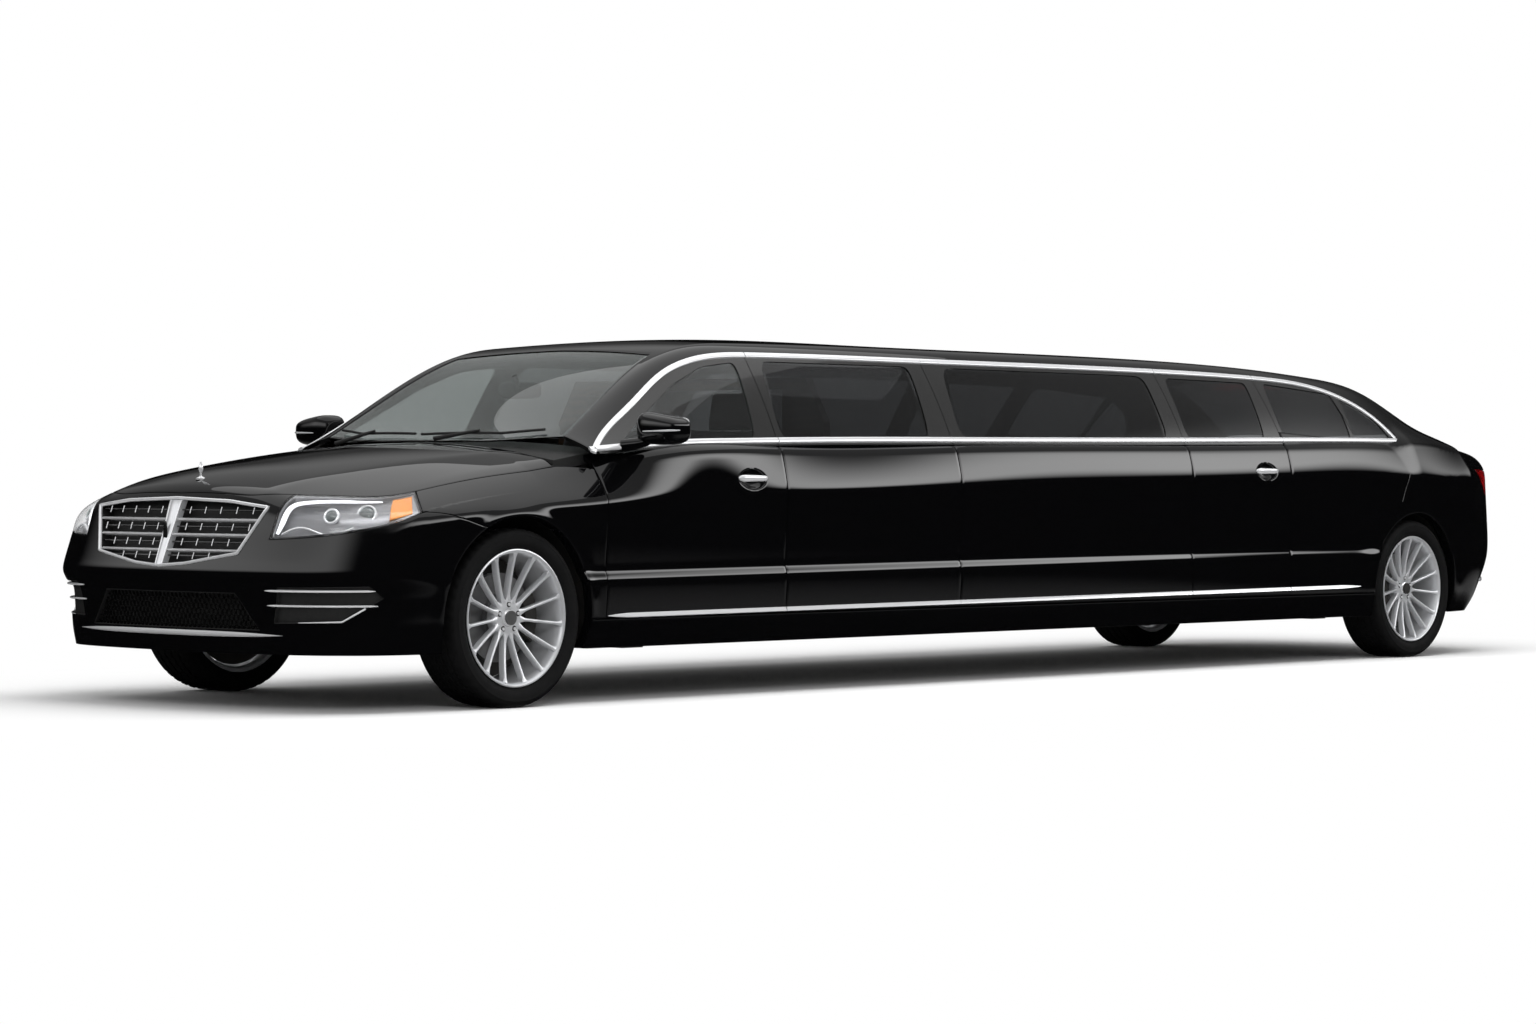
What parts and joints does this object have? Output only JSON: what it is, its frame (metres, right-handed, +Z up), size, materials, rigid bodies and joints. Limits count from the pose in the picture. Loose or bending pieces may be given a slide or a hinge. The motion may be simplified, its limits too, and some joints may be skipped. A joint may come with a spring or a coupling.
{
  "type": "stretch limousine",
  "caption": "Long four-door saloon with a stretched cabin, opening doors, hood and trunk lid, steered front wheels and lounge seating",
  "frame": {"origin": "on the ground under the middle of the bounding box", "axes": "+X points forward along the car, +Y to its left, +Z up"},
  "size_m": [8.7101, 2.224, 1.5193],
  "materials": {
    "body_paint": "deep gloss black",
    "inner_paint": "semi-gloss black primer",
    "window_glass": "smoked, polished",
    "screen_glass": "clear, polished",
    "lamp_lens": "clear, polished",
    "tail_lens": "deep red, polished",
    "chrome": "bright",
    "lamp_inside": "metallised",
    "alloy": "bright silver",
    "tyre": "matt black",
    "plastic": "fine grain",
    "leather": "satin black",
    "trim_leather": "stitched",
    "wood": "lacquered",
    "steel": "dull",
    "iron": "rough",
    "carpet": "pile"
  },
  "bodies": {
    "body": {"side_panels": "body_paint", "roof_and_pillars": "body_paint", "windscreen": "screen_glass", "rear_window": "window_glass", "side_windows": "window_glass", "front_fenders": "body_paint", "bumper_front": "body_paint", "headlamps": "lamp_lens", "headlamp_units": "lamp_inside", "radiator_grille": "chrome", "intake_screens": "plastic", "cowl_panel": "plastic", "rear_quarters": "body_paint", "tail_lamps": "tail_lens", "bumper_rear": "body_paint", "floor_pan": "inner_paint", "firewall": "inner_paint", "wheelhouses": "plastic", "front_frame": "inner_paint", "engine": "iron", "rear_bulkhead": "carpet", "front_subframe": "steel", "rear_axle": "iron", "driveline": "steel", "exhaust": "steel", "dashboard": "trim_leather", "steering_wheel": "trim_leather", "front_seats": "leather", "divider": "wood", "rear_bench": "leather", "side_bench": "leather", "bar_cabinet": "wood"},
    "front_door_left": {"door_front_left": "body_paint", "glass_door_front_left": "window_glass", "mirror_left": "body_paint"},
    "rear_door_left": {"door_rear_left": "body_paint", "glass_door_rear_left": "window_glass"},
    "knuckle_left": {"knuckle_left": "iron"},
    "wheel_front_left": {"rim_front_left": "alloy", "tyre_front_left": "tyre"},
    "wheel_rear_left": {"rim_rear_left": "alloy", "tyre_rear_left": "tyre"},
    "front_door_right": {"door_front_right": "body_paint", "glass_door_front_right": "window_glass", "mirror_right": "body_paint"},
    "rear_door_right": {"door_rear_right": "body_paint", "glass_door_rear_right": "window_glass"},
    "knuckle_right": {"knuckle_right": "iron"},
    "wheel_front_right": {"rim_front_right": "alloy", "tyre_front_right": "tyre"},
    "wheel_rear_right": {"rim_rear_right": "alloy", "tyre_rear_right": "tyre"},
    "hood": {"hood": "body_paint"},
    "trunk_lid": {"trunk_lid": "body_paint"}
  },
  "joints": [
    {"name": "steer_left", "type": "hinge", "parent": "body", "child": "knuckle_left", "pos_m": [3.315, 0.73, 0.352], "axis": [0, 0, 1], "range_deg": [-35, 35]},
    {"name": "steer_right", "type": "hinge", "parent": "body", "child": "knuckle_right", "pos_m": [3.315, -0.73, 0.352], "axis": [0, 0, 1], "range_deg": [-35, 35]},
    {"name": "roll_front_left", "type": "hinge", "parent": "knuckle_left", "child": "wheel_front_left", "pos_m": [3.315, 0.82, 0.352], "axis": [0, 1, 0], "continuous": true},
    {"name": "roll_rear_left", "type": "hinge", "parent": "body", "child": "wheel_rear_left", "pos_m": [-3.185, 0.82, 0.352], "axis": [0, 1, 0], "continuous": true},
    {"name": "roll_front_right", "type": "hinge", "parent": "knuckle_right", "child": "wheel_front_right", "pos_m": [3.315, -0.82, 0.352], "axis": [0, 1, 0], "continuous": true},
    {"name": "roll_rear_right", "type": "hinge", "parent": "body", "child": "wheel_rear_right", "pos_m": [-3.185, -0.82, 0.352], "axis": [0, 1, 0], "continuous": true},
    {"name": "front_door_left_hinge", "type": "hinge", "parent": "body", "child": "front_door_left", "pos_m": [2.822, 0.96, 0.7], "axis": [0, 0, -1], "range_deg": [0, 65]},
    {"name": "rear_door_left_hinge", "type": "hinge", "parent": "body", "child": "rear_door_left", "pos_m": [-1.213, 0.962, 0.7], "axis": [0, 0, -1], "range_deg": [0, 65]},
    {"name": "front_door_right_hinge", "type": "hinge", "parent": "body", "child": "front_door_right", "pos_m": [2.822, -0.96, 0.7], "axis": [0, 0, 1], "range_deg": [0, 65]},
    {"name": "rear_door_right_hinge", "type": "hinge", "parent": "body", "child": "rear_door_right", "pos_m": [-1.213, -0.962, 0.7], "axis": [0, 0, 1], "range_deg": [0, 65]},
    {"name": "hood_hinge", "type": "hinge", "parent": "body", "child": "hood", "pos_m": [2.995, 0, 1.048], "axis": [0, -1, 0], "range_deg": [0, 50]},
    {"name": "trunk_lid_hinge", "type": "hinge", "parent": "body", "child": "trunk_lid", "pos_m": [-3.803, 0, 1.13], "axis": [0, 1, 0], "range_deg": [0, 80]}
  ],
  "couplings": [
    {"joint": "steer_right", "follows": "steer_left", "ratio": 1}
  ]
}
